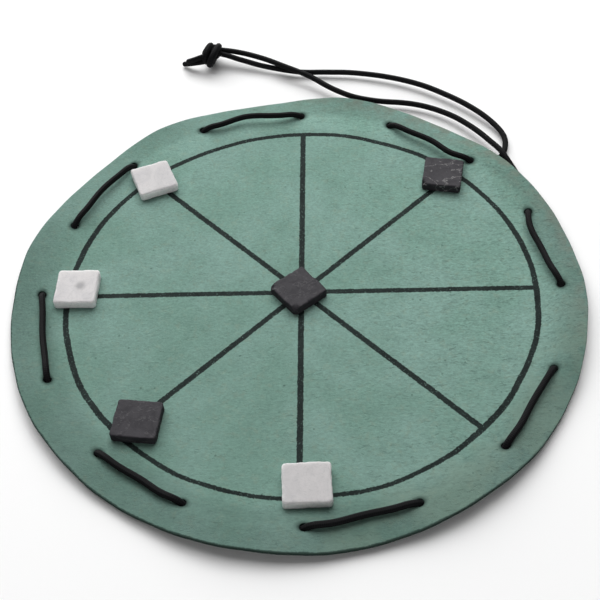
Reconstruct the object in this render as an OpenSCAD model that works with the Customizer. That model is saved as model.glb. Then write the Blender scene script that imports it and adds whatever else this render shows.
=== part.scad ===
// Round mill board: a suede disc with a painted ring and eight spokes, a drawstring laced through
// sixteen holes near its edge, and six stone tiles to play with. Millimetres, +Z up. The origin is
// the centre of the ring on the underside, where the leather rests on the table. +X runs along the
// spoke at the right, +Y along the spoke at the top.

/* [Painted lines] */
// Radius of the painted ring, at the middle of its line
ring_r = 85; // [75:1:95]
// Width of the painted lines
line_w = 2.1; // [1.2:0.1:2.6]
// Thickness of the paint
line_t = 0.1; // [0.05:0.01:0.2]

/* [Leather] */
// Thickness of the suede
leather_t = 1.6; // [1.2:0.1:2.2]
// Flat leather from the painted ring outwards, before the rim rises over the cord
flat_border = 4.5; // [3.5:0.1:4.8]
// From the painted ring to the circle of punched holes
hole_border = 9.5; // [9.4:0.1:11]
// From the painted ring to the cut edge
edge_border = 18.7; // [16:0.1:24]
// How far the cut edge wanders from a true circle
edge_wander = 1; // [0:0.1:1.5]
// How far the leather sags beneath each stitch
stitch_sag = 1.3; // [0.6:0.1:1.5]
// How high the rim curls above the cord, on average
rim_curl = 1.3; // [0:0.1:2.5]

/* [Drawstring] */
// Diameter of the round cord
cord_d = 2; // [1.6:0.1:2.4]
// Play of the cord in a punched hole, across its diameter
hole_play = 1.2; // [1:0.1:2]
// Gap between the cord and the leather that it runs over
over_gap = 0.1; // [0.08:0.01:0.2]
// Gap between the cord and the leather that it runs under
under_gap = 0.5; // [0.45:0.05:0.8]
// Radius of the knot's wraps, at the middle of the cord
knot_wrap_r = 3.8; // [3.4:0.1:4.2]

/* [Stone tiles] */
// Side of a tile, as it is meant to be cut
tile_side = 15; // [12:0.5:17]
// Thickness of a tile
tile_t = 3.5; // [3:0.5:6]
// Radius of a tile's worn corners, seen from above
tile_corner_r = 1.2; // [0.8:0.1:2.5]
// Bevel along a tile's edges
tile_bevel = 0.4; // [0.2:0.05:0.6]
// Size of the corners broken off two of the dark tiles
chip = 1.6; // [0.8:0.1:2.4]

/* [Hidden] */

suede = "#78A091";
paint = "#2E3A38";
cord_black = "#1B1B1C";
marble = "#D8D5D4";
slate = "#4B494F";

// The wheel: eight spokes that cross a little off its middle, and two holes for each of them
spokes = 8;
hub_xy = [0.4, -0.2];
spoke_step = 360 / spokes;
holes = 2 * spokes;
hole_step = 360 / holes;
flat_r = ring_r + flat_border;
hole_ring_r = ring_r + hole_border;
edge_r = ring_r + edge_border;
cord_r = cord_d / 2;
hole_r = (cord_d + hole_play) / 2;
seat_z = leather_t + line_t;

// The rim stands this high over the cord that runs beneath it, and has risen this far inside the holes
run_lift = cord_d + under_gap;
rise_inset = 0.8;
rise_r = hole_ring_r - rise_inset;
// Between two stitches the leather is highest at this share of the way from one spoke to the next, and
// it curls there by these shares of rim_curl, from the upper right round
crest = 0.75;
curl_shares = [0.9, 1.7, 1.5, 0.85, 0.2, 0.5, 0.6, 0.3];

// The holes are punched by hand: how far out of the circle each one is, and how many degrees round
hole_out = [-0.8, -0.8, -0.8, 0, 0, 1.4, 0.6, -0.8, -0.3, 0, -0.3, -0.5, 1.4, 1.2, 0.4, -0.8];
hole_turn = [0, 0.3, -0.7, 0, 0.3, 2.7, 0.4, 1, 0.2, 1.6, 1.4, -0.2, 1.2, 0.7, -0.6, -1];
// How far each stitch bows outwards, and how far its middle stands above its ends
stitch_bow = [-1.8, -0.5, 1.2, 0.7, 0.5, 0.5, 0.5, 0.1];
stitch_arch = [-0.8, -0.1, 0.5, 0.1, -0.7, -0.8, -0.8, -0.7];
// The cord beneath the leather bows outwards by this much between two holes
run_bow = 3;

// Grid of the leather, and sides and steps of the cord
round_steps = 80;
rise_rings = 4;
rim_rings = 3;
cord_sides = 8;
bend_step = 30;
span_steps = 6;

// Routes of the two free strands, from where each leaves its hole beneath the leather to the knot
outer_route = [[70.5, 64.5, 1], [74, 64.7, 1], [77.2, 66.3, 1], [79.5, 68.8, 1], [81, 71.4, 1],
    [82, 74.3, 1], [82.5, 77.3, 1.2], [82.2, 81, 1.5], [80.2, 85.7, 1.9], [76.8, 90.8, 2.3],
    [71.6, 96.8, 2.6], [65.4, 102.6, 2.7], [58.9, 107.7, 2.7], [51.8, 112.5, 2.7], [45.8, 115.7, 2.6],
    [39.7, 118.3, 2.5], [32.4, 120.7, 2.4], [26, 122.3, 2.3], [19.5, 123.5, 2.2], [13, 124.1, 2.1],
    [7, 124.5, 2], [1, 124.7, 2], [-5.4, 125.9, 2], [-12, 127.8, 2.1], [-16.5, 128.9, 2.5],
    [-20.8, 130.1, 3], [-25, 131.5, 3.6], [-29.3, 132.9, 4.2], [-33, 134.2, 4.8], [-36.8, 135.5, 5],
    [-39, 136.2, 5]];
inner_route = [[87.2, 41, 1], [87.2, 46, 1], [86.7, 51, 1], [85.8, 56, 1], [84.4, 60.5, 1.2],
    [82.6, 64.6, 2], [80.8, 68.1, 3.1], [79, 71.6, 3.4], [77.1, 74.5, 3.4], [75.4, 77.1, 3.3],
    [73.6, 79.9, 3.2], [68.5, 86.4, 3], [63, 92, 2.8], [57.5, 96.1, 2.6], [51.8, 99.2, 2.5],
    [45.8, 101.3, 2.5], [40.4, 102.4, 2.5], [35.8, 103, 2.5], [31.1, 103.7, 2.6], [26.3, 104.9, 2.7],
    [21.4, 106.5, 2.9], [16.6, 109.1, 3.1], [12.4, 111.8, 3.4], [8.2, 115.1, 3.7], [4, 118.5, 4.1],
    [-3.4, 123.2, 4.5], [-10.4, 127.5, 4.6], [-15, 130.3, 4.7], [-19.3, 132.5, 4.8], [-23.6, 134.4, 4.9],
    [-28, 136, 5], [-32.4, 137.3, 5], [-36.3, 138.1, 5], [-38.6, 138.5, 5]];
// The knot's middle and the way its length points, and the two tails beyond it, the short one on top
knot_xy = [-40, 135.2];
knot_turn = 162;
knot_wraps = 3;
wrap_step = 1.95;
long_tail_route = [[-41.5, 131.3, 4.6], [-45.3, 131.5, 3.6], [-48, 132.2, 2.7], [-50.8, 133, 1.8],
    [-53.3, 133.9, 1.1]];
short_tail_route = [[-41.5, 132.9, 6.4], [-45.3, 131.7, 5.9], [-48.3, 131.5, 4.9], [-51.2, 131.9, 3.7]];

// Each tile on the ring: number of its spoke, its middle outwards of the ring and along it, its turn
left_place = [4, -3.4, -2, -0.7];
upper_left_place = [3, -2.8, 0.5, 22.7];
bottom_place = [6, -3.9, 2.9, 2.2];
upper_right_place = [1, -5.2, 1.2, -10];
lower_left_place = [5, -7.4, 2, -6.2];
centre_xy = [-0.6, -1];
centre_turn = 38.5;
// How much wider and deeper than meant each of those on the ring was cut
left_cut = [0.2, 0.6];
upper_left_cut = [0.3, 0];
bottom_cut = [0.8, -0.2];
upper_right_cut = [0, 0.4];
lower_left_cut = [0.5, -0.3];
// Slope of the face that a broken corner leaves, from upright
chip_slope = 40;
// A tile that reaches over the rising rim tips up, and clears the leather by this much
tip_gap = 0.15;

function unit(v) = v / norm(v);
function polar(r, a, z = 0) = [r * cos(a), r * sin(a), z];
function clamp(t) = min(1, max(0, t));
function smooth(t) = let (x = clamp(t)) x * x * (3 - 2 * x);
function backwards(list) = [for (i = [len(list) - 1:-1:0]) list[i]];
function rest(list) = [for (i = [1:len(list) - 1]) list[i]];

// Cut edge of the leather in the direction a
function edge_at(a) =
    edge_r - edge_wander * (cos(a) + 0.6 * cos(2 * a) + 0.3 * cos(3 * a) + 0.5 * sin(a));

// Height of the underside over the table: the rim rises over the cord between stitches, sags beneath
// the stitches, and curls up towards its edge
function rim_lift(r, a) =
    let (run = round(a / spoke_step - crest),
         off = a - spoke_step * (run + crest),
         sag = stitch_sag * pow((1 - cos(spokes * off)) / 2, 2),
         curl = rim_curl * curl_shares[(run + spokes) % spokes] * pow(cos(spokes * off / 2), 4),
         out = max(0, (r - rise_r) / (edge_r - rise_r)))
    smooth((r - flat_r) / (rise_r - flat_r)) * (run_lift - sag) + pow(out, 1.5) * curl;

// One ring of the leather's grid: ring 0 bounds the flat middle, the last one is the cut edge
function grid_r(ring, a) = ring <= rise_rings
    ? flat_r + (rise_r - flat_r) * ring / rise_rings
    : rise_r + (edge_at(a) - rise_r) * (ring - rise_rings) / rim_rings;

module leather_board() {
    rings = rise_rings + rim_rings + 1;
    n = round_steps;
    grid = [for (top = [0, 1], ring = [0:rings - 1], i = [0:n - 1])
        let (a = 360 * i / n, r = grid_r(ring, a)) polar(r, a, rim_lift(r, a) + top * leather_t)];
    function at(top, ring, i) = (top * rings + ring) * n + i % n;
    upper = [for (j = [0:rings - 2], i = [0:n - 1]) each
        [[at(1, j, i), at(1, j, i + 1), at(1, j + 1, i + 1)],
         [at(1, j, i), at(1, j + 1, i + 1), at(1, j + 1, i)]]];
    lower = [for (j = [0:rings - 2], i = [0:n - 1]) each
        [[at(0, j, i), at(0, j + 1, i + 1), at(0, j, i + 1)],
         [at(0, j, i), at(0, j + 1, i), at(0, j + 1, i + 1)]]];
    wall = [for (i = [0:n - 1]) each
        [[at(1, rings - 1, i), at(1, rings - 1, i + 1), at(0, rings - 1, i + 1)],
         [at(1, rings - 1, i), at(0, rings - 1, i + 1), at(0, rings - 1, i)]]];
    middle = [[for (i = [n - 1:-1:0]) at(1, 0, i)], [for (i = [0:n - 1]) at(0, 0, i)]];
    color(suede) difference() {
        polyhedron(grid, concat(middle, upper, lower, wall), convexity = 6);
        for (i = [0:holes - 1])
            translate([hole_at(i)[0], hole_at(i)[1], -leather_t])
                cylinder(r = hole_r, h = run_lift + 3 * leather_t, $fn = 32);
    }
}

module painted_lines() {
    color(paint) translate([0, 0, leather_t]) linear_extrude(line_t) {
        difference() {
            circle(r = ring_r + line_w / 2, $fn = 180);
            circle(r = ring_r - line_w / 2, $fn = 180);
        }
        for (a = [0:spoke_step:179])
            translate(hub_xy) rotate(a) square([2 * ring_r, line_w], center = true);
    }
}

// The cord climbs or falls through each hole in two quarter turns that meet on the hole's axis
function hole_at(i) = polar(hole_ring_r + hole_out[i], i * hole_step + hole_turn[i]);
function hole_lift(i) = rim_lift(hole_ring_r + hole_out[i], i * hole_step + hole_turn[i]);
function cord_low() = cord_r;
function cord_high(i) = hole_lift(i) + leather_t + over_gap + cord_r;
function bend_r(i) = (cord_high(i) - cord_low()) / 2;
function towards(i, point) = unit([point[0], point[1], 0] - hole_at(i));
function leaving(i, k, bow) =
    unit(hole_at(k) - hole_at(i) + 4 * bow * unit(hole_at(i) + hole_at(k)));
function arm(i, way, up) =
    [for (a = [0:bend_step:90])
        hole_at(i) + way * bend_r(i) * (1 - cos(a)) + [0, 0, cord_low() + bend_r(i) * (1 + up * sin(a))]];

// Between two holes the cord follows one arc, bowed outwards, that its quarter turns run into; over
// the leather its middle also dips or stands up
function span(i, k, up, bow, arch) =
    let (from = hole_at(i) + leaving(i, k, bow) * bend_r(i) + [0, 0, up ? cord_high(i) : cord_low()],
         to = hole_at(k) + leaving(k, i, bow) * bend_r(k) + [0, 0, up ? cord_high(k) : cord_low()],
         out = unit([from[0] + to[0], from[1] + to[1], 0]))
    [for (s = [1:span_steps - 1]) let (t = s / span_steps)
        from + (to - from) * t + out * bow * 4 * t * (1 - t) + [0, 0, arch * pow(sin(180 * t), 2)]];

// The laced cord goes up through even holes, over, and down through odd ones, from hole 2 to hole 1
function stitch_way(i, k) = leaving(i, k, stitch_bow[floor(i / 2)]);
function through(n) =
    let (i = (n + 2) % holes, before = (i + holes - 1) % holes, after = (i + 1) % holes,
         up = n % 2 == 0,
         beneath = n == 0 ? towards(i, outer_route[0]) : n == holes - 1 ? towards(i, inner_route[0])
             : leaving(i, up ? before : after, run_bow),
         low = arm(i, beneath, -1),
         high = arm(i, stitch_way(i, up ? after : before), 1))
    up ? concat(backwards(low), rest(high)) : concat(backwards(high), rest(low));
function onward(n) =
    let (i = (n + 2) % holes, after = (i + 1) % holes)
    n == holes - 1 ? [] :
    n % 2 == 0 ? span(i, after, true, stitch_bow[floor(i / 2)], stitch_arch[floor(i / 2)]) :
    span(i, after, false, run_bow, 0);
lacing_path = [for (n = [0:holes - 1]) each concat(through(n), onward(n))];

// A round cord swept along a path, with flats above and below; its ends are square to the ways given.
// The rings keep level with the sides given, or with the table where there are none
module cord(path, first_way, last_way, sides = []) {
    last = len(path) - 1;
    function way(i) = i == 0 ? first_way : i == last ? last_way : unit(path[i + 1] - path[i - 1]);
    function across(i) =
        let (t = way(i), s = len(sides) > 0 ? sides[i] : cross([0, 0, 1], t)) unit(s - (s * t) * t);
    points = [for (i = [0:last], m = [0:cord_sides - 1])
        let (t = way(i), s = across(i), u = cross(t, s), a = (m + 0.5) * 360 / cord_sides)
        path[i] + cord_r * (cos(a) * s + sin(a) * u)];
    function at(i, m) = i * cord_sides + m % cord_sides;
    skin = [for (i = [0:last - 1], m = [0:cord_sides - 1]) each
        [[at(i, m), at(i + 1, m), at(i + 1, m + 1)], [at(i, m), at(i + 1, m + 1), at(i, m + 1)]]];
    ends = [[for (m = [0:cord_sides - 1]) at(0, m)], [for (m = [cord_sides - 1:-1:0]) at(last, m)]];
    color(cord_black) polyhedron(points, concat(ends, skin), convexity = 10);
}

module cord_lacing() {
    cord(lacing_path, -towards(2, outer_route[0]), towards(1, inner_route[0]),
         [for (p = lacing_path) unit([p[0], p[1], 0])]);
}

// A free strand starts where the laced cord ends, and ends inside the knot
module strand(hole, route) {
    start = hole_at(hole) + towards(hole, route[0]) * bend_r(hole) + [0, 0, cord_low()];
    last = len(route) - 1;
    cord(concat([start], route), towards(hole, route[0]), unit(route[last] - route[last - 1]));
}

module free_strand_outer() { strand(2, outer_route); }
module free_strand_inner() { strand(1, inner_route); }

module cord_knot() {
    length = (knot_wraps - 1) * wrap_step;
    color(cord_black) translate([knot_xy[0], knot_xy[1], knot_wrap_r + cord_r])
        rotate([0, 0, knot_turn]) rotate([0, 90, 0]) rotate_extrude($fn = 48) {
            translate([0, -length / 2 - cord_r]) square([knot_wrap_r, length + cord_d]);
            for (i = [0:knot_wraps - 1])
                translate([knot_wrap_r, wrap_step * i - length / 2]) circle(r = cord_r, $fn = 32);
        }
}

module tail(route) {
    last = len(route) - 1;
    cord(route, unit(route[1] - route[0]), unit(route[last] - route[last - 1]));
}

module cord_tail_long() { tail(long_tail_route); }
module cord_tail_short() { tail(short_tail_route); }

module worn_square(sides, r) {
    offset(r = r, $fn = 24) square([for (side = sides) side - 2 * r], center = true);
}

function cut_sides(cut) = [for (extra = cut) tile_side + extra];

// A tile with worn corners and bevelled edges; broken corners are counted from the right, upwards
module tile(cut = [0, 0], broken = []) {
    sides = cut_sides(cut);
    difference() {
        hull() {
            translate([0, 0, tile_bevel]) linear_extrude(tile_t - 2 * tile_bevel)
                worn_square(sides, tile_corner_r);
            linear_extrude(tile_t)
                worn_square([for (side = sides) side - 2 * tile_bevel], tile_corner_r - tile_bevel / 2);
        }
        for (corner = broken)
            rotate([0, 0, 45 + 90 * corner]) translate([corner_reach - chip, 0, tile_t])
                rotate([0, chip_slope, 0]) translate([0, -tile_side / 2, -1.2 * tile_t])
                    cube([tile_side, tile_side, 3 * tile_t]);
    }
}

// How far a plain tile's worn corners are from its middle
corner_reach = sqrt(2) * (tile_side / 2 - tile_corner_r) + tile_corner_r;

// A turned tile's worn corners, and the one of them that lies furthest in a direction
function corners(sides, turn) =
    [for (sign = [[1, 1], [-1, 1], [-1, -1], [1, -1]])
        let (x = sign[0] * (sides[0] / 2 - tile_corner_r), y = sign[1] * (sides[1] / 2 - tile_corner_r))
        polar(norm([x, y]) + tile_corner_r, atan2(y, x) + turn)];
function furthest(points, way) =
    let (reaches = [for (p = points) p * way]) [for (p = points) if (p * way == max(reaches)) p][0];

// Puts a tile on the ring with its middle where its place says, tipped if the rim is under its outer corner
module on_ring(place, cut) {
    a = place[0] * spoke_step;
    out = polar(1, a);
    along = polar(1, a + 90);
    corner = furthest(corners(cut_sides(cut), place[3]), out);
    reach = corner * out;
    middle = out * (ring_r + place[1]) + along * place[2];
    tip_point = middle + corner;
    lift = rim_lift(norm(tip_point), atan2(tip_point[1], tip_point[0])) - line_t;
    tip = lift > 0 ? atan((lift + tip_gap) / (2 * reach)) : 0;
    translate(middle + [0, 0, seat_z] - out * reach) rotate(a = -tip, v = along)
        translate(out * reach) rotate([0, 0, place[3]]) children();
}

module white_tile_left() { color(marble) on_ring(left_place, left_cut) tile(left_cut); }
module white_tile_upper_left() {
    color(marble) on_ring(upper_left_place, upper_left_cut) tile(upper_left_cut);
}
module white_tile_bottom() { color(marble) on_ring(bottom_place, bottom_cut) tile(bottom_cut); }
module dark_tile_upper_right() {
    color(slate) on_ring(upper_right_place, upper_right_cut) tile(upper_right_cut, broken = [2]);
}
module dark_tile_lower_left() {
    color(slate) on_ring(lower_left_place, lower_left_cut) tile(lower_left_cut);
}
module dark_tile_centre() {
    color(slate) translate([centre_xy[0], centre_xy[1], seat_z]) rotate([0, 0, centre_turn])
        tile(broken = [1, 2]);
}

leather_board();
painted_lines();
cord_lacing();
free_strand_outer();
free_strand_inner();
cord_knot();
cord_tail_long();
cord_tail_short();
white_tile_left();
white_tile_upper_left();
white_tile_bottom();
dark_tile_upper_right();
dark_tile_lower_left();
dark_tile_centre();
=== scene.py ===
"""A round mill board on a pale table: green suede with a painted wheel, a drawstring laced through its
rim and knotted behind it, and six worn stone tiles. Lengths are millimetres until a mesh is made."""
import bmesh
import bpy
import numpy as np
from mathutils import Matrix


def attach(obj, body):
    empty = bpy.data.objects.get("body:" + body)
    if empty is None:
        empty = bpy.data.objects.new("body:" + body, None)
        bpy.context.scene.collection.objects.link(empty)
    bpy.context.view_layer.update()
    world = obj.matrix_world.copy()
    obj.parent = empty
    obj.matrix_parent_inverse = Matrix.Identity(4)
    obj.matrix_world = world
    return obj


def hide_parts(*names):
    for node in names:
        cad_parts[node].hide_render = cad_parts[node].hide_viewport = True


MM = 0.001
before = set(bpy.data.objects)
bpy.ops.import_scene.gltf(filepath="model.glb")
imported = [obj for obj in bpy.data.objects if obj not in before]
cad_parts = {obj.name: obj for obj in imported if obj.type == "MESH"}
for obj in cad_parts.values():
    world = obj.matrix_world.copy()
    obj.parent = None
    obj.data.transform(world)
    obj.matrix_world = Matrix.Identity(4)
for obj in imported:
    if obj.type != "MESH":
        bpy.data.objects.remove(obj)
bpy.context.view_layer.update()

# The board's sizes, as in the part's source
RING_R, LINE_W, LEATHER_T, LINE_T = 85, 2.1, 1.6, 0.1
HUB = (0.4, -0.2)
HOLE_RING_R, EDGE_R, EDGE_WANDER = 94.5, 103.7, 1
STITCH_SAG, RIM_CURL = 1.3, 1.3
CORD_R, HOLE_R, OVER_GAP, RUN_LIFT = 1, 1.4, 0.1, 2.5
# The braid stands a little proud of the cord's nominal girth, and so lies that much higher
BRAID_R = 1.15 * CORD_R
BRAID_LIFT = BRAID_R - CORD_R
SPOKES, HOLES = 8, 16
SPOKE_STEP, HOLE_STEP = 2 * np.pi / SPOKES, 2 * np.pi / HOLES
CURL_SHARES = np.array([0.9, 1.7, 1.5, 0.85, 0.2, 0.5, 0.6, 0.3])
HOLE_OUT = np.array([-0.8, -0.8, -0.8, 0, 0, 1.4, 0.6, -0.8, -0.3, 0, -0.3, -0.5, 1.4, 1.2, 0.4, -0.8])
HOLE_TURN = np.radians([0, 0.3, -0.7, 0, 0.3, 2.7, 0.4, 1, 0.2, 1.6, 1.4, -0.2, 1.2, 0.7, -0.6, -1])
# How each stitch lies outwards of a straight line, as the heights of one, two, three and four half waves
STITCH_WAVES = [
    (-2.2, 0.4, -0.5, 0), (-0.9, -0.8, -0.8, -0.2), (1.4, -0.1, -0.7, 0.2), (1, 0.2, -0.3, 0),
    (0.3, -0.1, -0.2, 0), (1.1, -0.2, 0.4, -0.1), (1, 0.2, 0.4, 0), (0.4, 0.3, 0.2, 0)]
STITCH_ARCH = [-0.8, -0.1, 0.5, 0.1, -0.7, -0.8, -0.8, -0.7]
RUN_WAVES = (3.5, 0, 0, 0)
# Where the rim climbs over the cord: suede starts further in and goes more gently than a rigid sheet
SOFT_CLIMB, RIGID_CLIMB, RISE_R = (86.5, 96.8), (89.5, 93.7), 93.7

# The two free ends, from the leather to the knot, and the tails beyond it, as in the part's source
OUTER_ROUTE = [
    (70.5, 64.5, 1), (74, 64.7, 1), (77.2, 66.3, 1), (79.5, 68.8, 1), (81, 71.4, 1), (82, 74.3, 1),
    (82.5, 77.3, 1.2), (82.2, 81, 1.5), (80.2, 85.7, 1.9), (76.8, 90.8, 2.3), (71.6, 96.8, 2.6),
    (65.4, 102.6, 2.7), (58.9, 107.7, 2.7), (51.8, 112.5, 2.7), (45.8, 115.7, 2.6), (39.7, 118.3, 2.5),
    (32.4, 120.7, 2.4), (26, 122.3, 2.3), (19.5, 123.5, 2.2), (13, 124.1, 2.1), (7, 124.5, 2),
    (1, 124.7, 2), (-5.4, 125.9, 2), (-12, 127.8, 2.1), (-16.5, 128.9, 2.5), (-20.8, 130.1, 3),
    (-25, 131.5, 3.6), (-29.3, 132.9, 4.2), (-33, 134.2, 4.8), (-36.8, 135.5, 5), (-39, 136.2, 5)]
INNER_ROUTE = [
    (87.2, 41, 1), (87.2, 46, 1), (86.7, 51, 1), (85.8, 56, 1), (84.4, 60.5, 1.2), (82.6, 64.6, 2),
    (80.8, 68.1, 3.1), (79, 71.6, 3.4), (77.1, 74.5, 3.4), (75.4, 77.1, 3.3), (73.6, 79.9, 3.2),
    (68.5, 86.4, 3), (63, 92, 2.8), (57.5, 96.1, 2.6), (51.8, 99.2, 2.5), (45.8, 101.3, 2.5),
    (40.4, 102.4, 2.5), (35.8, 103, 2.5), (31.1, 103.7, 2.6), (26.3, 104.9, 2.7), (21.4, 106.5, 2.9),
    (16.6, 109.1, 3.1), (12.4, 111.8, 3.4), (8.2, 115.1, 3.7), (4, 118.5, 4.1), (-3.4, 123.2, 4.5),
    (-10.4, 127.5, 4.6), (-15, 130.3, 4.7), (-19.3, 132.5, 4.8), (-23.6, 134.4, 4.9), (-28, 136, 5),
    (-32.4, 137.3, 5), (-36.3, 138.1, 5), (-38.6, 138.5, 5)]
LONG_TAIL = [
    (-41.5, 131.3, 4.6), (-45.3, 131.5, 3.6), (-48, 132.2, 2.7), (-50.8, 133, 1.8), (-53.3, 133.9, 1.1)]
SHORT_TAIL = [(-41.5, 132.9, 6.4), (-45.3, 131.7, 5.9), (-48.3, 131.5, 4.9), (-51.2, 131.9, 3.7)]
# The knot's wraps are ovals across its length, deeper than they are high
KNOT_MIDDLE, KNOT_TURN = np.array([-39.8, 135, 5.05]), np.radians(162)
WRAP_DEEP, WRAP_HIGH, KNOT_STEP = 5.1, 3.4, 0.5
# Each cord's ways into the knot and out of it, as points along the knot, to its front and up
RIGHT_WAY_IN = [(-1.8, -3.7, 0.4), (0.5, -3.5, 0.3), (2.3, -2.2, 0.6), (3.4, -0.5, 0.8), (2, -2.6, 1)]
RIGHT_WAY_OUT = [(-2.5, -1, 1.6), (-2.3, 0.6, 0.3), (-0.8, 1.2, 0), (0.8, 1.2, 0), (2.2, 1.2, 0.1)]
LEFT_WAY_IN = [(-1.8, -1.4, 0.4), (0.4, -1.3, 0.2), (2, -0.6, 0.2), (3.3, 0.6, 0.3), (2.2, -1.6, 1.8)]
LEFT_WAY_OUT = [(0.4, -0.6, 1.8), (-1.3, 1.6, 1), (-1.6, 3.1, 0), (-0.2, 3.3, -0.2), (1.2, 3.5, -0.2)]

# The photograph's camera, found from the ring, the spokes and the tiles, in pixels of a 600 pixel frame
FRAME_PX, FOCAL_PX, RING_SEEN = 600, 1096.7, (300.35, 291.78)
DISTANCE = 398.1
ELEVATION, TURN, TILT = np.radians([50.1, -3.383, -3.734])


def photo_camera():
    """Stands where the ring's middle is seen at its place in the picture. The rows of the view are the
    picture's right, its down and away from the viewer: a turn about the upright axis, then the elevation,
    then the tilt of the horizon."""
    sine, cosine = np.sin(ELEVATION), np.cos(ELEVATION)
    turned = [[np.cos(TURN), -np.sin(TURN), 0], [np.sin(TURN), np.cos(TURN), 0], [0, 0, 1]]
    raised = [[1, 0, 0], [0, -sine, -cosine], [0, cosine, -sine]]
    tilted = [[np.cos(TILT), -np.sin(TILT), 0], [np.sin(TILT), np.cos(TILT), 0], [0, 0, 1]]
    view = np.array(tilted) @ raised @ turned
    right, down = (np.array(RING_SEEN) - FRAME_PX / 2) / FOCAL_PX
    ray = np.array([right, down, 1])
    place = np.array([0, 0, LEATHER_T]) - view.T @ (ray / np.linalg.norm(ray) * DISTANCE)
    data = bpy.data.cameras.new("photo_camera")
    data.lens = data.sensor_width * FOCAL_PX / FRAME_PX
    data.clip_start = 0.01
    camera = bpy.data.objects.new("photo_camera", data)
    matrix = np.eye(4)
    matrix[:3, :3] = np.stack([view[0], -view[1], -view[2]], 1)
    matrix[:3, 3] = place * MM
    camera.matrix_world = Matrix(matrix.tolist())
    bpy.context.scene.collection.objects.link(camera)
    bpy.context.scene.camera = camera


# Shapes that several pieces share

# Points of a mesh that are nearer than this become one
JOIN_GAP = 0.004
CORD_SIDES = 16


def unit(v):
    """Vectors cut to a length of 1."""
    return v / np.linalg.norm(v, axis=-1, keepdims=True)


def smooth(t):
    """0 below 0, 1 above 1 and 3 t squared - 2 t cubed between them."""
    t = np.clip(t, 0, 1)
    return t * t * (3 - 2 * t)


def polar(r, a, z=0.0):
    """The point r cos a, r sin a at height z."""
    return np.stack(np.broadcast_arrays(r * np.cos(a), r * np.sin(a), z), -1)


def grid_faces(rows, columns, wrap):
    """Corner numbers of a grid's quads. The last column joins the first one where the grid wraps."""
    i, j = np.meshgrid(np.arange(rows - 1), np.arange(columns if wrap else columns - 1), indexing="ij")
    k = (j + 1) % columns
    here, beyond = i * columns, (i + 1) * columns
    return np.stack([here + j, here + k, beyond + k, beyond + j], -1).reshape(-1, 4)


def make_mesh(name, grids, material, uv=None):
    """One smooth closed object from grids of points, each an array of rows, columns and x, y, z with its
    wrap flag. Neighbouring grids join where their points meet. A piece may have a pair of UV for each
    point."""
    points, faces, start = [], [], 0
    for grid, wrap in grids:
        points.append(grid.reshape(-1, 3))
        faces.append(grid_faces(grid.shape[0], grid.shape[1], wrap) + start)
        start += len(points[-1])
    mesh = bpy.data.meshes.new(name)
    mesh.from_pydata((np.concatenate(points) * MM).tolist(), [], np.concatenate(faces).tolist())
    if uv is not None:
        corner = np.zeros(len(mesh.loops), int)
        mesh.loops.foreach_get("vertex_index", corner)
        mesh.uv_layers.new(name="weave").data.foreach_set("uv", uv[corner].astype(np.float32).ravel())
    shell = bmesh.new()
    shell.from_mesh(mesh)
    bmesh.ops.remove_doubles(shell, verts=shell.verts, dist=JOIN_GAP * MM)
    bmesh.ops.recalc_face_normals(shell, faces=shell.faces)
    shell.to_mesh(mesh)
    shell.free()
    mesh.polygons.foreach_set("use_smooth", np.ones(len(mesh.polygons), bool))
    mesh.materials.append(material)
    piece = bpy.data.objects.new(name, mesh)
    bpy.context.scene.collection.objects.link(piece)
    return piece


def mark_points(piece, name, of_points):
    """A number for each point of a finished mesh, worked out from the points in millimetres."""
    mesh = piece.data
    at = np.zeros(len(mesh.vertices) * 3)
    mesh.vertices.foreach_get("co", at)
    marks = mesh.attributes.new(name, "FLOAT", "POINT")
    marks.data.foreach_set("value", of_points(at.reshape(-1, 3) / MM))


def through(points, step):
    """A natural cubic spline through the points, with its own points a step apart along it."""
    p = np.array(points, float)
    t = np.r_[0, np.cumsum(np.linalg.norm(np.diff(p, axis=0), axis=1))]
    h = np.diff(t)[:, None]
    slopes = np.diff(p, axis=0) / h
    inner = np.diag(2 * (h[:-1] + h[1:])[:, 0]) + np.diag(h[1:-1, 0], 1) + np.diag(h[1:-1, 0], -1)
    bend = np.zeros_like(p)
    bend[1:-1] = np.linalg.solve(inner, 6 * np.diff(slopes, axis=0))
    s = np.linspace(0, t[-1], int(t[-1] / 0.1) + 2)
    k = np.clip(np.searchsorted(t, s, "right") - 1, 0, len(h) - 1)
    left, right, width = (s - t[k])[:, None], (t[k + 1] - s)[:, None], h[k]
    fine = (bend[k] * right ** 3 + bend[k + 1] * left ** 3) / (6 * width)
    fine += (p[k] / width - bend[k] * width / 6) * right
    fine += (p[k + 1] / width - bend[k + 1] * width / 6) * left
    length = along(fine)
    even = np.linspace(0, length[-1], int(round(length[-1] / step)) + 1)
    return np.stack([np.interp(even, length, fine[:, c]) for c in range(3)], 1)


def along(path):
    """Distance of each point of a path from its start."""
    return np.r_[0, np.cumsum(np.linalg.norm(np.diff(path, axis=0), axis=1))]


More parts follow.
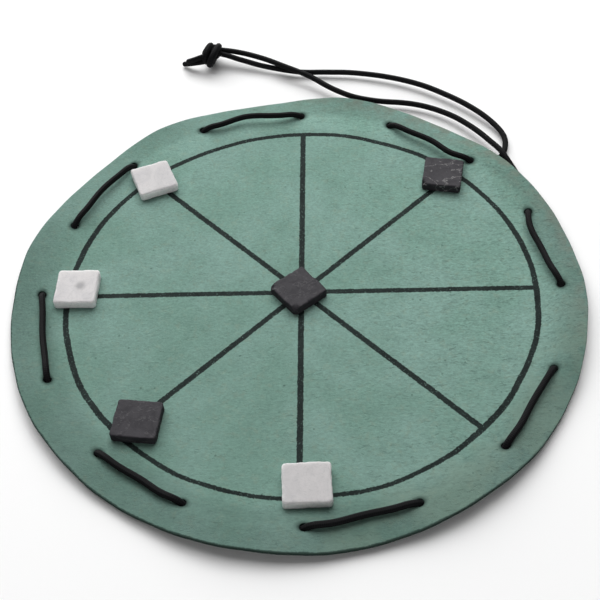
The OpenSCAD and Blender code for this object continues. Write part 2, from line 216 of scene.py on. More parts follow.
def tube(path, reference, rounded=(False, False), swell=0.0):
    """A closed round cord on a path: ring centre + R (cos u side + sin u up), where side is square to the
    path and to the reference. A rounded end shrinks like a dome, a cut one closes flat, and R may swell by
    a share of itself as a sine over its length. Returns its points and a pair of UV for each: u once
    round, v in girths along it."""
    s, way = along(path), unit(np.gradient(path, axis=0))
    dome = np.sin(np.linspace(0, np.pi / 2, 7)[:-1])
    marks, radius = s, np.ones(len(s))
    for end in (0, 1):
        sunk = CORD_R * (1 - np.sqrt(1 - dome ** 2)) if rounded[end] else np.zeros(1)
        shrunk = dome if rounded[end] else np.zeros(1)
        taken = CORD_R if rounded[end] else -1
        keep = marks > taken if end == 0 else marks < s[-1] - taken
        new = sunk if end == 0 else s[-1] - sunk[::-1]
        marks = np.r_[new, marks[keep]] if end == 0 else np.r_[marks[keep], new]
        radius = np.r_[shrunk, radius[keep]] if end == 0 else np.r_[radius[keep], shrunk[::-1]]
    at = np.clip(np.searchsorted(s, marks), 0, len(s) - 1)
    rings = np.stack([np.interp(marks, s, path[:, c]) for c in range(3)], 1)
    side = unit(np.cross(np.broadcast_to(reference, path.shape)[at], way[at]))
    up = np.cross(way[at], side)
    u = np.linspace(0, 1, CORD_SIDES + 1)
    round_it = 2 * np.pi * u[:, None]
    turned = np.cos(round_it) * side[:, None] + np.sin(round_it) * up[:, None]
    girths = marks / (2 * np.pi * CORD_R)
    radius = radius * (1 + swell * np.sin(np.pi * marks / s[-1]))
    uv = np.stack(np.broadcast_arrays(u[None, :], girths[:, None]), -1).reshape(-1, 2)
    return rings[:, None] + BRAID_R * radius[:, None, None] * turned, uv


def cord_piece(name, tubes):
    """One object of the cord, of one or more tubes."""
    return make_mesh(name, [(points, False) for points, uv in tubes], finishes["cord"],
                     np.concatenate([uv for points, uv in tubes]))


# The leather and its holes

def edge_at(a):
    """The cut edge wanders from a circle on three slow cosines and a sine, with three quick small sines
    left by the knife."""
    knife = 0.16 * np.sin(7 * a + 1) + 0.1 * np.sin(17 * a + 2) + 0.06 * np.sin(41 * a)
    wander = np.cos(a) + 0.6 * np.cos(2 * a) + 0.3 * np.cos(3 * a) + 0.5 * np.sin(a)
    return EDGE_R - EDGE_WANDER * wander + knife


def rim_lift(r, a, climb=SOFT_CLIMB):
    """Height of the underside. A smooth step lifts the rim over the cord; a raised cosine to the second
    power lets it sag beneath each stitch; a cosine to the fourth power curls it up between them, growing
    with the 1.5th power of the way out to the edge."""
    run = np.round(a / SPOKE_STEP - 0.75).astype(int)
    off = a - SPOKE_STEP * (run + 0.75)
    sag = STITCH_SAG * ((1 - np.cos(SPOKES * off)) / 2) ** 2
    curl = RIM_CURL * CURL_SHARES[(run + SPOKES) % SPOKES] * np.cos(SPOKES * off / 2) ** 4
    out = np.maximum(0, (r - RISE_R) / (EDGE_R - RISE_R))
    return smooth((r - climb[0]) / (climb[1] - climb[0])) * (RUN_LIFT - sag) + out ** 1.5 * curl


HOLE_R_AT, HOLE_A = HOLE_RING_R + HOLE_OUT, np.arange(HOLES) * HOLE_STEP + HOLE_TURN
HOLE_AT = polar(HOLE_R_AT, HOLE_A)
# Heights of the cord's middle: on the table beneath the leather, and over the leather at each hole
CORD_LOW = BRAID_R
CORD_HIGH = rim_lift(HOLE_R_AT, HOLE_A, RIGID_CLIMB) + LEATHER_T + OVER_GAP + BRAID_R

# The leather is made in three parts that join: its middle, sixteen patches with a hole each, and its rim
PATCH_IN, PATCH_OUT, ROUND_STEPS = 90.0, 99.0, 256
PATCH_STEPS = ROUND_STEPS // HOLES
SIDE_STEPS = 8
ROUND_A = (np.arange(ROUND_STEPS) * 2 * np.pi / ROUND_STEPS - HOLE_STEP / 2)[None, :]
# The cut edge and the punched holes have rounded lips, and the leather dips a little round each hole
EDGE_ROUND, LIP, DIMPLE, DIMPLE_REACH = 0.25, 0.3, 0.2, 1.5


def skin(r, a):
    """Height of the leather's top face, with waves too shallow to see as shapes that catch the light."""
    x, y = r * np.cos(a), r * np.sin(a)
    waves = 0.05 * np.sin(x / 17 + 1) * np.sin(y / 23) + 0.03 * np.sin(x / 9 - y / 13)
    return rim_lift(r, a) + LEATHER_T + waves * (1 - smooth((r - 70) / 15))


def middle_grid(top):
    """A disc on polar coordinates, out to the patches, with its rings closer where the rim climbs."""
    climbing = np.arange(SOFT_CLIMB[0], PATCH_IN, 0.7)
    r = np.r_[0, 1.5, np.arange(6, 85, 6), 85.6, climbing, PATCH_IN][:, None]
    return polar(r, ROUND_A, skin(r, ROUND_A) if top else rim_lift(r, ROUND_A))


def patch_grid(i):
    """Rays from the rim of hole i to the edge of its patch, a rectangle in polar coordinates. The rows run
    in over the top, round the punched rim, down the hole and out again beneath. The dimple is a bell curve
    of the way from the hole."""
    a0, a1 = (i - 0.5) * HOLE_STEP, (i + 0.5) * HOLE_STEP
    ta, tr = np.arange(PATCH_STEPS) / PATCH_STEPS, np.arange(SIDE_STEPS) / SIDE_STEPS
    a = np.r_[a0 + (a1 - a0) * ta, np.full(SIDE_STEPS, a1), a1 + (a0 - a1) * ta, np.full(SIDE_STEPS, a0)]
    r = np.r_[np.full(PATCH_STEPS, PATCH_OUT), PATCH_OUT + (PATCH_IN - PATCH_OUT) * tr,
              np.full(PATCH_STEPS, PATCH_IN), PATCH_IN + (PATCH_OUT - PATCH_IN) * tr]
    edge = polar(r, a)
    ray = edge - HOLE_AT[i]
    reach = np.linalg.norm(ray, axis=1)
    turn = np.linspace(0, np.pi / 2, 5)[:, None]
    out = HOLE_R + (reach - HOLE_R) * np.r_[np.linspace(1, 0.2, 9) ** 1.3, 0.06][:, None]
    flat_rows = np.maximum(out, HOLE_R + LIP)
    lip_rows = HOLE_R + LIP * (1 - np.sin(turn)) + 0 * reach
    steps = np.concatenate([flat_rows, lip_rows, lip_rows[::-1], flat_rows[::-1]])
    sunk = np.concatenate([0 * flat_rows, LIP * (1 - np.cos(turn)) + 0 * reach])
    at = HOLE_AT[i] + (ray / reach[:, None]) * steps[..., None]
    r = np.hypot(at[..., 0], at[..., 1])
    # The angle is taken from the patch's own middle, so that it doesn't jump within the patch
    middle = i * HOLE_STEP
    outwards = at[..., 0] * np.cos(middle) + at[..., 1] * np.sin(middle)
    sideways = at[..., 1] * np.cos(middle) - at[..., 0] * np.sin(middle)
    a = middle + np.arctan2(sideways, outwards)
    share = (steps - HOLE_R) / (reach - HOLE_R)
    dimple = DIMPLE * np.exp(-((steps - HOLE_R) / DIMPLE_REACH) ** 2) * (1 - share) ** 2
    half = len(steps) // 2
    at[:half, :, 2] = skin(r[:half], a[:half]) - dimple[:half] - sunk
    at[half:, :, 2] = rim_lift(r[half:], a[half:]) - dimple[half:] * 0.5 + sunk[::-1]
    return at


def rim_grid():
    """From the patches out over the top, round the cut edge and back beneath."""
    a = ROUND_A
    cut = edge_at(a) - EDGE_ROUND
    flat = PATCH_OUT + (cut - PATCH_OUT) * np.linspace(0, 1, 8)[:, None]
    turn = np.linspace(0, np.pi / 2, 5)[1:, None]
    bend, sunk = cut + EDGE_ROUND * np.sin(turn), EDGE_ROUND * (1 - np.cos(turn)) + 0 * a
    top = np.concatenate([flat, bend])
    below = np.concatenate([bend[::-1], flat[::-1]])
    upper = skin(top, a) - np.concatenate([0 * flat, sunk])
    lower = rim_lift(below, a) + np.concatenate([sunk[::-1], 0 * flat])
    return polar(np.concatenate([top, below]), np.broadcast_to(a, (2 * len(top), ROUND_STEPS)),
                 np.concatenate([upper, lower]))


def way_and_angle(at):
    """How far points are from the board's middle, and their angles."""
    return np.hypot(at[:, 0], at[:, 1]), np.arctan2(at[:, 1], at[:, 0]) % (2 * np.pi)


def off_the_nap(at):
    """0 on the napped top face, 1 on the cut edge, in the holes and beneath."""
    r, a = way_and_angle(at)
    return np.clip((skin(r, a) - 0.03 - at[:, 2]) / 0.2, 0, 1)


def near_edge(at):
    """0 from 2 mm inside the cut edge inwards, 1 on the edge."""
    r, a = way_and_angle(at)
    return np.clip(1 - (edge_at(a) - r) / 2, 0, 1)


def leather():
    """The one sheet of suede, with the wheel painted on it."""
    grids = [(middle_grid(True), True), (middle_grid(False), True), (rim_grid(), True)]
    grids += [(patch_grid(i), True) for i in range(HOLES)]
    piece = make_mesh("leather", grids, finishes["suede"])
    mark_points(piece, "cut", off_the_nap)
    mark_points(piece, "near_edge", near_edge)
    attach(piece, "board")
    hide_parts("leather_board", "painted_lines")


# The cord: laced through the rim, its two free ends, and the knot that joins them

# How far from a hole the cord starts to dive into it, above the leather and beneath
OVER_REACH, UNDER_REACH = 5.0, 2.2


def run(i, k, over, waves, arch):
    """The cord from the middle of one hole to the middle of the next, above the leather or beneath it.
    From above it is a straight line with half waves of sines outwards of it, from the side a straight line
    between its two ends' heights with an arch of a squared sine. It meets the holes at half height, on
    parabolas."""
    t = np.linspace(0, 1, 48)
    start, end = HOLE_AT[i], HOLE_AT[k]
    width = np.linalg.norm(end - start)
    out = unit(start + end)
    outwards = sum(height * np.sin(np.pi * (n + 1) * t) for n, height in enumerate(waves))
    path = start + (end - start) * t[:, None] + out * outwards[:, None]
    from_hole = np.minimum(t, 1 - t) * width
    reach = OVER_REACH if over else UNDER_REACH
    near = np.maximum(0, 1 - from_hole / reach) ** 2
    if over:
        level = CORD_HIGH[i] + (CORD_HIGH[k] - CORD_HIGH[i]) * t + arch * np.sin(np.pi * t) ** 2
    else:
        level = np.full(len(t), float(CORD_LOW))
    half = np.where(t < 0.5, CORD_HIGH[i], CORD_HIGH[k]) / 2 + CORD_LOW / 2
    path[:, 2] = level + (half - level) * near
    return path


def lead(i, point):
    """From where the cord leaves beneath the leather towards a route's first point, up to the hole."""
    way = unit(np.array([point[0], point[1], 0]) - HOLE_AT[i])
    t = np.linspace(1, 0, 6)
    path = HOLE_AT[i] + way * (UNDER_REACH * t)[:, None]
    half = (CORD_HIGH[i] + CORD_LOW) / 2
    path[:, 2] = CORD_LOW + (half - CORD_LOW) * (1 - t) ** 2
    return path


def lacing():
    """Up through even holes and down through odd ones, from hole 2 round to hole 1."""
    parts = [lead(2, OUTER_ROUTE[0])]
    for n in range(HOLES - 1):
        i = (n + 2) % HOLES
        over = i % 2 == 0
        waves, arch = (STITCH_WAVES[i // 2], STITCH_ARCH[i // 2]) if over else (RUN_WAVES, 0)
        parts.append(run(i, (i + 1) % HOLES, over, waves, arch))
    parts.append(lead(1, INNER_ROUTE[0])[::-1])
    path = np.concatenate([parts[0]] + [part[1:] for part in parts[1:]])
    path = through(path[::3], 0.8)
    piece = cord_piece("lacing", [tube(path, unit(path * [1, 1, 0]))])
    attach(piece, "board")
    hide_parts("cord_lacing")


def strand(name, hole, route, node):
    """A free end of the cord: a tube on the spline through its route's points."""
    way = unit(np.array([route[0][0], route[0][1], 0]) - HOLE_AT[hole])
    start = HOLE_AT[hole] + way * UNDER_REACH + [0, 0, CORD_LOW]
    path = through([start] + [(x, y, z + BRAID_LIFT) for x, y, z in route], 1.0)
    piece = cord_piece(name, [tube(path, (0, 0, 1))])
    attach(piece, "board")
    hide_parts(node)
    tuple(start * MM)


def knot_pass(wrap_at, slant, size, raised, way_in, way_out):
    """One cord in the knot: in along its length and round its left end, once round the outside on an oval,
    and out again through the middle to its tail. The wrap slants, so that its top lies further right along
    the knot than its foot."""
    knot_along, knot_front = polar(1, KNOT_TURN), polar(1, KNOT_TURN + np.pi / 2)
    turn = np.radians(np.arange(190, 491, 20))
    deep, high = size * WRAP_DEEP * np.cos(turn), size * WRAP_HIGH * np.sin(turn)
    wrap = np.c_[wrap_at - slant * np.sin(turn), deep, raised + high]
    x, front, up = np.concatenate([way_in, wrap, way_out]).T[:, :, None]
    return through(KNOT_MIDDLE + x * knot_along + front * knot_front + up * [0, 0, 1], KNOT_STEP)


def tail(name, route):
    """A short end of the cord beyond the knot, with a rounded tip."""
    path = through(np.array(route) + [0, 0, BRAID_LIFT], KNOT_STEP)
    piece = cord_piece(name, [tube(path, (0, 0, 1), (False, True))])
    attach(piece, "board")
    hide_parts("cord_" + name)
    return piece


def knot():
    """Both cords wound about each other and swollen where they are pulled tight, and the two tails."""
    right = knot_pass(-0.95, 1.4, 1.02, 0, RIGHT_WAY_IN, RIGHT_WAY_OUT)
    left = knot_pass(1.6, 0, 0.85, 0.4, LEFT_WAY_IN, LEFT_WAY_OUT)
    piece = cord_piece("knot", [tube(path, polar(1, KNOT_TURN), swell=0.3) for path in (right, left)])
    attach(piece, "board")
    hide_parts("cord_knot")
    return [piece, tail("tail_long", LONG_TAIL), tail("tail_short", SHORT_TAIL)]


# The tiles

TILE_SIDE, TILE_T, TILE_CORNER_R, TILE_BEVEL = 15, 3.5, 1.2, 0.4
# How far the top edge is worn away at the least, and the foot rounded
LEAST_WEAR, FOOT_ROUND = 0.12, 0.3
SEAT_Z, TIP_GAP = LEATHER_T + LINE_T, 0.15
CORNER_SIGNS = np.array([(1, 1), (-1, 1), (-1, -1), (1, -1)])


def tile_sides(cut):
    """A tile's width and depth, which differ by its cut from what is meant."""
    return TILE_SIDE + np.array(cut)


def ring_place(spoke, out_of_ring, along_ring, turn, cut):
    """Where a tile on the ring stands: a matrix of its turn and tip, and its middle at the foot. Over the
    rising rim it tips about its inner corner."""
    a, turn = spoke * SPOKE_STEP, np.radians(turn)
    out, sideways = polar(1, a), polar(1, a + np.pi / 2)
    x, y = (CORNER_SIGNS * (tile_sides(cut) / 2 - TILE_CORNER_R)).T
    corners = polar(np.hypot(x, y) + TILE_CORNER_R, np.arctan2(y, x) + turn)
    corner = corners[np.argmax(corners @ out)]
    reach = corner @ out
    middle = out * (RING_R + out_of_ring) + sideways * along_ring
    tip_r, tip_a = np.hypot(*(middle + corner)[:2]), np.arctan2(*(middle + corner)[1::-1])
    lift = rim_lift(np.array(tip_r), np.array(tip_a), RIGID_CLIMB) - LINE_T
    tip = np.arctan((lift + TIP_GAP) / (2 * reach)) if lift > 0 else 0.0
    spin = np.array(Matrix.Rotation(turn, 3, "Z"))
    lean = np.array(Matrix.Rotation(-tip, 3, sideways.tolist()))
    return lean @ spin, middle + [0, 0, SEAT_Z] - out * reach + lean @ (out * reach)


def rough(at, seed, size):
    """A smooth wandering number, mostly between -1 and 1, whose swells are about a size across: six sines
    along directions drawn at random, added."""
    draw = np.random.default_rng(seed)
    total = 0
    for k in range(6):
        wave = unit(draw.normal(size=3)) * 2 * np.pi / (size * 1.35 ** (k - 2))
        total = total + np.sin(at @ wave + draw.uniform(0, 6.28))
    return total / 3.2


def tile_grid(cut, seed, wear, nicks, chips):
    """A worn square block: rows go from the middle of the foot out, up the side, over the worn edge and in
    to the middle of the top, columns once round its outline with rounded corners. Nicks are
    (angle, width, depth) along the top edge; chips are planes that points beyond are pushed back to."""
    quarter = np.linspace(0, np.pi / 2, 12)
    to_arc = tile_sides(cut) / 2 - TILE_CORNER_R
    arcs = [sign * to_arc + TILE_CORNER_R * polar(1, quarter + k * np.pi / 2)[:, :2]
            for k, sign in enumerate(CORNER_SIGNS)]
    t = np.linspace(0, 1, 38)[1:-1, None]
    outline = np.concatenate([points for k, arc in enumerate(arcs)
                              for points in (arc, arc[-1] + (arcs[(k + 1) % 4][0] - arc[-1]) * t)])
    angle = np.arctan2(outline[:, 1], outline[:, 0])
    inward = -unit(outline)
    level = 0 * angle
    edge_line = np.c_[outline, level]
    edge = TILE_BEVEL * (wear + 0.5 * rough(edge_line, seed, 5) + 0.35 * rough(edge_line, seed + 1, 1.6))
    for at, width, depth in nicks:
        away = np.angle(np.exp(1j * (angle - np.radians(at))))
        edge = edge + depth * np.exp(-(away / np.radians(width)) ** 2)
    edge = np.maximum(LEAST_WEAR, edge)
    foot = FOOT_ROUND
    shares = np.r_[0, 0.28, 0.52, 0.7, 0.82, 0.9, 0.94]
    bevel = np.linspace(0, np.pi / 2, 5)
    rows = [(outline * share, level) for share in shares]
    rows += [(outline + inward * foot * (1 - np.sin(b)), foot * (1 - np.cos(b)) + level) for b in bevel]
    rows += [(outline, foot + (TILE_T - foot - edge) * h) for h in np.linspace(0, 1, 9)[1:-1]]
    rows += [(outline + inward * (edge * (1 - np.cos(b)))[:, None], TILE_T - edge * (1 - np.sin(b)))
             for b in bevel]
    rows += [((outline + inward * edge[:, None]) * share, TILE_T + level) for share in shares[::-1]]
    grid = np.stack([np.c_[xy, z] for xy, z in rows])
    side_rows = slice(len(shares), len(grid) - len(shares))
    sides = grid[side_rows].reshape(-1, 3)
    push = 0.1 * rough(sides, seed + 2, 6) + 0.06 * rough(sides, seed + 3, 2)
    grid[side_rows, :, :2] -= inward * push.reshape(-1, len(outline), 1)
    for k, (toward, slope, from_middle) in enumerate(chips):
        a, slope = np.radians(toward), np.radians(slope)
        face = np.array([np.cos(a) * np.cos(slope), np.sin(a) * np.cos(slope), np.sin(slope)])
        points = grid.reshape(-1, 3)
        beyond = (points - [0, 0, TILE_T]) @ face - from_middle * np.cos(slope)
        beyond = beyond - 0.22 * rough(points, seed + 10 + k, 2.5)
        beyond = beyond - 0.1 * rough(points, seed + 20 + k, 0.9)
        grid = (points - np.maximum(0, beyond)[:, None] * face).reshape(grid.shape)
    return grid


def tile(name, place, finish, slot, seed, cut=(0, 0), wear=1.0, nicks=(), chips=()):
    """One stone tile, marked as sawn below its honed top."""
    turn, middle = place
    grid = tile_grid(cut, seed, wear, nicks, chips)
    piece = make_mesh(name + "_stone", [(grid @ turn.T + middle, True)], finishes[finish])

    def sawn(at):
        local = (at - middle) @ turn
        return smooth((TILE_T - 0.15 - local[:, 2]) / 0.35)

    mark_points(piece, "sawn", sawn)
    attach(piece, name)
    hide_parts(name)


def ring_tile(name, place, cut, finish, slot, seed, **worn):
    """A tile that stands on the ring."""
    tile(name, ring_place(*place, cut), finish, slot, seed, cut, **worn)


def tiles():
    """Three white ones on the ring, then the dark ones. Each has its place, a spoke, the way out from the
    ring, the way along it and a turn, and then its cut. The number before its wear starts its random draws.
    The centre tile lies on the crossing of the spokes."""
    white, dark = "marble_white", "stone_dark"
    ring_tile("white_tile_left", (4, -3.4, -2, -0.7), (0.2, 0.6), "white_spotted", white, 11, wear=1.8)
    ring_tile("white_tile_upper_left", (3, -2.8, 0.5, 22.7), (0.3, 0), "white", white, 23, wear=2)
    ring_tile("white_tile_bottom", (6, -3.9, 2.9, 2.2), (0.8, -0.2), "white_grey", white, 37, wear=1.8)
    ring_tile("dark_tile_upper_right", (1, -5.2, 1.2, -10), (0, 0.4), "dark_veined", dark, 41, wear=1.2,
              chips=[(225, 50, 8.5)])
    ring_tile("dark_tile_lower_left", (5, -7.4, 2, -6.2), (0.5, -0.3), "dark", dark, 53, wear=1.1)
    centre = np.array(Matrix.Rotation(np.radians(38.5), 3, "Z")), np.array([-0.6, -1, SEAT_Z])
    tile("dark_tile_centre", centre, "dark", dark, 67, wear=1.2,
         nicks=[(70, 3, 0.5), (85, 2, 0.4), (100, 3, 0.5)], chips=[(135, 50, 8.5), (225, 50, 8.5)])


# Materials, written as arithmetic

class Value:
    """A number of a material, worked out by its nodes: arithmetic on it adds more of them."""

    def __init__(self, finish, socket):
        self.finish, self.socket = finish, socket

    def __add__(self, other):
        return self.finish.maths("ADD", self, other)

    def __sub__(self, other):
        return self.finish.maths("SUBTRACT", self, other)

    def __rsub__(self, other):
        return self.finish.maths("SUBTRACT", other, self)

    def __mul__(self, other):
        return self.finish.maths("MULTIPLY", self, other)

    def __truediv__(self, other):
        return self.finish.maths("DIVIDE", self, other)

    def __pow__(self, other):
        return self.finish.maths("POWER", self, other)

    def __abs__(self):
        return self.finish.maths("ABSOLUTE", self)

    def __gt__(self, other):
        return self.finish.maths("GREATER_THAN", self, other)

    __radd__, __rmul__ = __add__, __mul__


class Finish:
    """A material and the tools to write it."""

    def __init__(self, name, **constants):
        self.material = bpy.data.materials.new(name)
        self.material.use_nodes = True
        self.nodes, self.links = self.material.node_tree.nodes, self.material.node_tree.links
        self.shader = self.nodes["Principled BSDF"]
        for socket, value in constants.items():
            self.shader.inputs[socket.replace("_", " ")].default_value = value

    def feed(self, socket, value):
        """Links a worked-out value to a socket, or sets a plain one on it."""
        if isinstance(value, Value):
            self.links.new(value.socket, socket)
        elif value is not None:
            socket.default_value = value

    def node(self, kind, settings=None, inputs=None, output=0):
        """Adds a node, with its settings made first and its inputs by name or number."""
        made = self.nodes.new(kind)
        for setting, value in (settings or {}).items():
            setattr(made, setting, value)
        for socket, value in (inputs or {}).items():
            self.feed(made.inputs[socket], value)
        return Value(self, made.outputs[output])

    def maths(self, operation, *values):
        """One step of arithmetic."""
        return self.node("ShaderNodeMath", {"operation": operation}, dict(enumerate(values)))

    def at(self, turn=0.0, stretch=(1, 1, 1)):
        """Where the surface is, in millimetres, turned or stretched if need be."""
        place = self.node("ShaderNodeTexCoord", output="Object")
        return self.node("ShaderNodeMapping", {"vector_type": "POINT"}, {
            "Vector": place, "Rotation": (0, 0, turn), "Scale": tuple(1 / MM * s for s in stretch)})

    def noise(self, place, size, detail=2.0, roughness=0.5, distortion=0.0):
        """Noise about 0.5 whose blotches are a size across."""
        return self.node("ShaderNodeTexNoise", {}, {
            "Vector": place, "Scale": 1 / size, "Detail": detail, "Roughness": roughness,
            "Distortion": distortion})

    def ramp(self, value, low, high, to_low=0.0, to_high=1.0):
        """From to_low at low to to_high at high, smoothly and no further."""
        return self.node("ShaderNodeMapRange", {"interpolation_type": "SMOOTHSTEP"}, {
            0: value, 1: low, 2: high, 3: to_low, 4: to_high})

    def mix(self, share, first, second):
        """From the first colour at a share of 0 to the second at 1."""
        return self.node("ShaderNodeMix", {"data_type": "RGBA"}, {
            0: share, 6: rgba(first), 7: rgba(second)}, output=2)

    def times(self, colour, share):
        """A colour made darker or lighter."""
        return self.node("ShaderNodeVectorMath", {"operation": "SCALE"}, {0: colour, "Scale": share})

    def split(self, vector):
        """A vector's x, y and z."""
        parts = self.node("ShaderNodeSeparateXYZ", {}, {0: vector})
        return [Value(self, output) for output in parts.socket.node.outputs]

    def mark(self, name):
        """A number that was worked out for each point of the piece."""
        return self.node("ShaderNodeAttribute", {"attribute_name": name}, output="Fac")

    def finish(self, colour, roughness=None, height=None, depth=0.1):
        """Joins colour, roughness and a height in units of depth, in millimetres, to the shader."""
        self.feed(self.shader.inputs["Base Color"], colour)
        self.feed(self.shader.inputs["Roughness"], roughness)
        if height is not None:
            bump = self.node("ShaderNodeBump", {}, {
                "Height": height, "Distance": depth * MM, "Strength": 1.0})
            self.feed(self.shader.inputs["Normal"], bump)
        return self.material


def rgba(colour):
    """A plain colour with its fourth number, or a worked-out one as it is."""
    return colour if isinstance(colour, Value) else (*colour, 1)


def smaller(first, second):
    """The smaller of two values."""
    return first.finish.maths("MINIMUM", first, second)


def larger(first, second):
    """The larger of two values."""
    return first.finish.maths("MAXIMUM", first, second)


def specks(f, place):
    """1 in the middles of a few cells, which are picked by the grey of their random colour, and else 0."""
    cells = {"Vector": place, "Scale": 0.22}
    pick = f.node("ShaderNodeTexVoronoi", {"feature": "F1"}, cells, output="Color")
    from_middle = f.node("ShaderNodeTexVoronoi", {"feature": "F1"}, cells)
    return f.ramp(from_middle, 0.12, 0.05) * (pick > 0.62)


def from_painted_line(f, place, x, y, r):
    """The way from the middle of the nearest painted line: the least of the ways from the four diameters,
    inside the ring, and from the ring. An unsteady hand drew the ring, which gets thinner at the front, and
    the suede makes every line ragged."""
    spoke_x, spoke_y = x - HUB[0], y - HUB[1]
    upright = smaller(abs(spoke_x), abs(spoke_y))
    slanting = smaller(abs(spoke_x - spoke_y), abs(spoke_x + spoke_y)) / np.sqrt(2)
    spokes = larger(smaller(upright, slanting), r - RING_R)
    ring = abs(r - RING_R + 1.8 * (f.noise(place, 22, 1) - 0.5)) + 0.28 * f.ramp(y, -55, -78)
    return smaller(spokes, ring) + (f.noise(place, 1.1, 4, 0.8) - 0.5) * 1.1


def suede():
    """Green nap, painted with a ring and spokes, dark on its cut edge and darker towards the rim, partly as
    painted shade.
    """
    f = Finish("suede", Specular_IOR_Level=0.1)
    place = f.at()
    x, y = f.split(place)[:2]
    r = (x * x + y * y) ** 0.5

    # Clouds, blotches and grain, with streaks and creases across the board that are crisper to the right
    cloud = f.noise(place, 30, 3)
    blotch = f.noise(place, 7, 4, 0.6)
    fine = f.noise(f.at(stretch=(0.7, 1, 1)), 0.6, 4, 0.65)
    streaks = f.noise(f.at(stretch=(0.4, 1, 1)), 0.75, 3, 0.6, 0.5)
    right = f.ramp(x, -10, 80)
    creases = f.ramp(f.noise(f.at(stretch=(0.45, 1, 1)), 1.3, 4, 0.65, 0.8), 0.57, 0.66)
    creases = creases * (0.6 + 0.4 * right)
    crisp = 0.4 + 0.35 * f.ramp(y, -75, 0)
    tone = 1 + 0.16 * (cloud - 0.5) + 0.25 * (blotch - 0.5) + crisp * (fine - 0.5)
    tone = tone + (0.46 + 0.34 * right) * (streaks - 0.5) - (0.12 + 0.03 * right) * creases
    tone = tone * (1 - 0.09 * right * f.ramp(r, 86, 97))
    green = f.mix(f.ramp(cloud, 0.35, 0.65), (0.168, 0.289, 0.241), (0.19, 0.309, 0.268))
    warm = f.ramp(f.noise(place, 2.6, 4, 0.7), 0.5, 0.72)
    # Painted light: the leather a little lighter towards the far side and the right
    tone = tone * f.ramp(y + 0.4 * x, -90, 90, 0.93, 1.07)
    colour = f.times(f.mix(warm * 0.5, green, (0.21, 0.29, 0.232)), tone)

    # Painted light and shade where the rim climbs over the cord: darker at the front, lighter at the back
    rise_slope_shade = f.ramp(r, 86, 90.5) * f.ramp(r, 97, 93)
    far = f.ramp(y, 0, 90)
    # The rim darkens outwards in its own tone, but less at the back, which is painted light
    rim = f.ramp(r, 84, 102) * (0.3 - 0.24 * far)
    colour = f.times(colour, (1 - rim) * (1 + (0.2 + 0.3 * far) * rise_slope_shade * y / r))
    olive = f.ramp(r, 78, 92) * f.ramp(x - y, 80, 125) * f.ramp(f.noise(place, 14, 3), 0.4, 0.6)
    colour = f.mix(olive * 0.4, colour, (0.165, 0.235, 0.187))
    brown = f.ramp(r, 94, 103) * f.ramp(x + 0.8 * y, 40, 130) * f.ramp(f.noise(place, 5, 3), 0.4, 0.6)
    colour = f.mix(brown * 0.45, colour, (0.2, 0.185, 0.15))
    colour = f.mix(specks(f, place) * 0.5, colour, (0.05, 0.09, 0.07))

    # The paint has soaked in, and is worn where the nap stands highest
    cut = f.mark("cut")
    from_line = from_painted_line(f, place, x, y, r)
    paint = f.ramp(from_line, LINE_W / 2 + 0.12, LINE_W / 2 - 0.12) * (1 - cut)
    worn = f.ramp(f.noise(place, 0.7, 3, 0.7), 0.6, 0.7)
    paint_colour = f.mix(f.ramp(blotch, 0.3, 0.7), (0.008, 0.014, 0.013), (0.015, 0.024, 0.022))
    colour = f.mix(paint * (1 - 0.5 * worn), colour, paint_colour)

    # The cut edge is dark. A dark band runs on to the top along the front edge: ragged nap, with painted
    # shade of the edge
    front_edge_band = f.mark("near_edge") + 0.5 * (f.noise(place, 0.8, 3, 0.7) - 0.5)
    front_edge_band = front_edge_band + 0.35 * (f.noise(place, 7, 2) - 0.5)
    front_fray_and_shade = f.ramp(front_edge_band, 0.7, 0.9) * f.ramp(y + 0.5 * x, -10, -60)
    colour = f.mix(larger(cut, front_fray_and_shade * 0.8), colour, (0.02, 0.036, 0.03))
    height = 0.5 * fine + 0.3 * f.noise(place, 0.35, 3, 0.7) + 0.2 * streaks + 0.3 * blotch
    height = height - 0.35 * creases
    return f.finish(colour, 0.95 - 0.25 * paint, height, 0.25)


def cord():
    """Black braid: slanting ridges that cross, as the product of two sines, with a little dust."""
    f = Finish("cord", Specular_IOR_Level=0.1)
    uv = f.node("ShaderNodeUVMap", {"uv_map": "weave"})
    u, v = f.split(uv)[:2]
    one, other = (f.maths("SINE", (u * 4 + side * v * 5) * 2 * np.pi) for side in (1, -1))
    weave = one * other
    dusty = f.noise(f.at(), 5, 3)
    colour = f.mix(f.ramp(weave + dusty - 0.5, -1, 1), (0.003, 0.003, 0.0035), (0.008, 0.008, 0.009))
    return f.finish(colour, 0.6 + 0.2 * dusty, weave, 0.06)


def white_stone(name, white, grey_spot=None):
    """Honed marble with faint clouds and veins, and a grey spot on one tile; its sides are rougher, with
    painted light on them.
    """
    f = Finish(name, Specular_IOR_Level=0.2, Subsurface_Weight=0.7, Subsurface_Radius=(1, 0.97, 0.95),
               Subsurface_Scale=3 * MM)
    place = f.at()
    cloud = f.noise(place, 9, 4, 0.6, 1.5)
    vein = abs(f.noise(place, 6, 4, 0.6, 2.5) - 0.5)
    grain = f.noise(place, 0.5, 3, 0.6)
    clean = (white, 0.97 * white, 0.97 * white)
    clouded = (0.87 * white, 0.85 * white, 0.86 * white)
    colour = f.mix(f.ramp(cloud, 0.35, 0.75), clean, clouded)
    colour = f.mix(f.ramp(vein, 0.035, 0.0) * 0.2, colour, (0.3, 0.3, 0.31))
    if grey_spot:
        away = f.node("ShaderNodeVectorMath", {"operation": "DISTANCE"}, {
            0: place, 1: grey_spot}, output="Value")
        colour = f.mix(f.ramp(away + 3 * (cloud - 0.5), 2.8, 0.2) * 0.6, colour, (0.2, 0.2, 0.21))
    sawn = f.mark("sawn")
    # Painted light: the sawn sides much lighter than the top
    colour = f.times(colour, 1 + 0.07 * (grain - 0.5) + 0.35 * sawn)
    height = 0.25 * grain + (0.6 * sawn) * f.noise(place, 0.8, 4, 0.7)
    return f.finish(colour, 0.5 + 0.25 * sawn, height, 0.12)


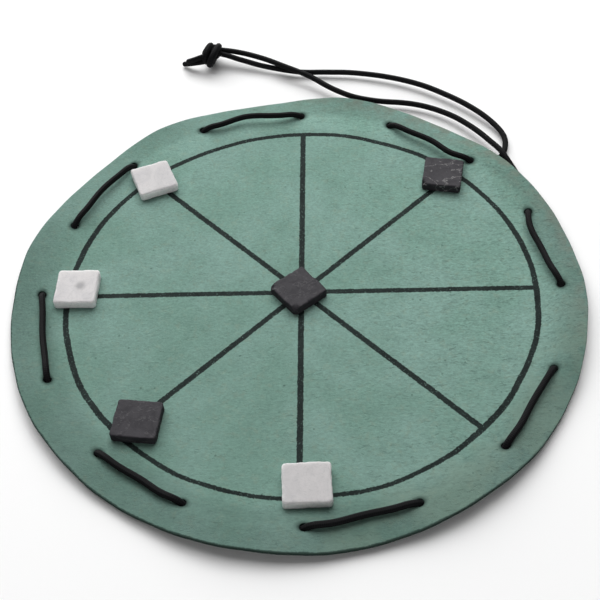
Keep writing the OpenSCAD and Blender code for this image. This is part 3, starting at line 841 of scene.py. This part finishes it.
def dark_stone(name, veins):
    """Nearly black stone with pale veins and flecks; its sides are rougher and darker."""
    f = Finish(name, Specular_IOR_Level=0.12)
    place = f.at()
    cloud = f.noise(place, 4, 5, 0.65, 0.8)
    grain = f.noise(place, 0.45, 4, 0.7)
    colour = f.mix(f.ramp(cloud, 0.3, 0.7), (0.026, 0.0245, 0.029), (0.044, 0.0415, 0.047))
    vein = abs(f.noise(f.at(turn=0.5, stretch=(1, 1.5, 1)), 11, 4, 0.6, 0.3) - 0.5)
    colour = f.mix(f.ramp(vein, 0.012, 0.0) * veins, colour, (0.24, 0.235, 0.235))
    flecks = f.ramp(f.noise(place, 0.8, 2, 0.6), 0.7, 0.76)
    colour = f.mix(flecks * (0.1 + 0.3 * veins), colour, (0.2, 0.195, 0.2))
    sawn = f.mark("sawn")
    colour = f.times(colour, 1 + 0.3 * (grain - 0.5) - 0.15 * sawn)
    height = 0.25 * grain + (0.25 + 0.9 * sawn) * f.noise(place, 1.1, 5, 0.7)
    return f.finish(colour, 0.55 + 0.3 * sawn, height, 0.18)


# The table, in metres
TABLE_REACH, TABLE_Z = 9.0, -0.05 * MM


def floor():
    """A pale table, wide enough to fill the picture."""
    f = Finish("table", Specular_IOR_Level=0.2)
    material = f.finish((0.93, 0.93, 0.93, 1), 0.7)
    corners = TABLE_REACH * np.array([[-1, -1], [1, -1], [1, 1], [-1, 1]])
    mesh = bpy.data.meshes.new("table")
    mesh.from_pydata(np.c_[corners, np.full(4, TABLE_Z)].tolist(), [], [(0, 1, 2, 3)])
    mesh.materials.append(material)
    table = bpy.data.objects.new("table", mesh)
    bpy.context.scene.collection.objects.link(table)


def area_light(name, place, width, height, power):
    """A bright rectangle, in metres and watts, that faces the middle of the board."""
    data = bpy.data.lights.new(name, "AREA")
    data.shape, data.size, data.size_y, data.energy = "RECTANGLE", width, height, power
    light = bpy.data.objects.new(name, data)
    back = unit(np.array(place, float))
    right = unit(np.cross([0, 1, 0.01], back))
    matrix = np.eye(4)
    matrix[:3, :3] = np.stack([right, np.cross(back, right), back], 1)
    matrix[:3, 3] = place
    light.matrix_world = Matrix(matrix.tolist())
    bpy.context.scene.collection.objects.link(light)


def lights():
    """A broad window behind, one above it, a faint light in front and a little from all round."""
    bpy.context.scene.view_settings.view_transform = "Standard"
    world = bpy.data.worlds.new("room")
    bpy.context.scene.world = world
    world.use_nodes = True
    background = world.node_tree.nodes["Background"]
    background.inputs["Color"].default_value = (1, 1, 1, 1)
    background.inputs["Strength"].default_value = 0.09
    area_light("window", (-0.6, 1.6, 0.6), 4.8, 1.4, 63)
    area_light("window_top", (-0.3, 1, 1.5), 3, 1.6, 35)
    area_light("room", (0.3, -1.6, 0.55), 2.5, 0.6, 8)


photo_camera()
finishes = {"suede": suede(), "cord": cord(), "white": white_stone("white_stone", 0.6),
            "white_spotted": white_stone("white_stone_spotted", 0.62, (-80.1, 1.9, 5.2)),
            "white_grey": white_stone("white_stone_grey", 0.54),
            "dark": dark_stone("dark_stone", 0.14), "dark_veined": dark_stone("dark_stone_veined", 0.8)}
knot_pieces = knot()
strand("strand_outer", 2, OUTER_ROUTE, "free_strand_outer")
strand("strand_inner", 1, INNER_ROUTE, "free_strand_inner")
lacing()
leather()
tiles()
floor()
lights()
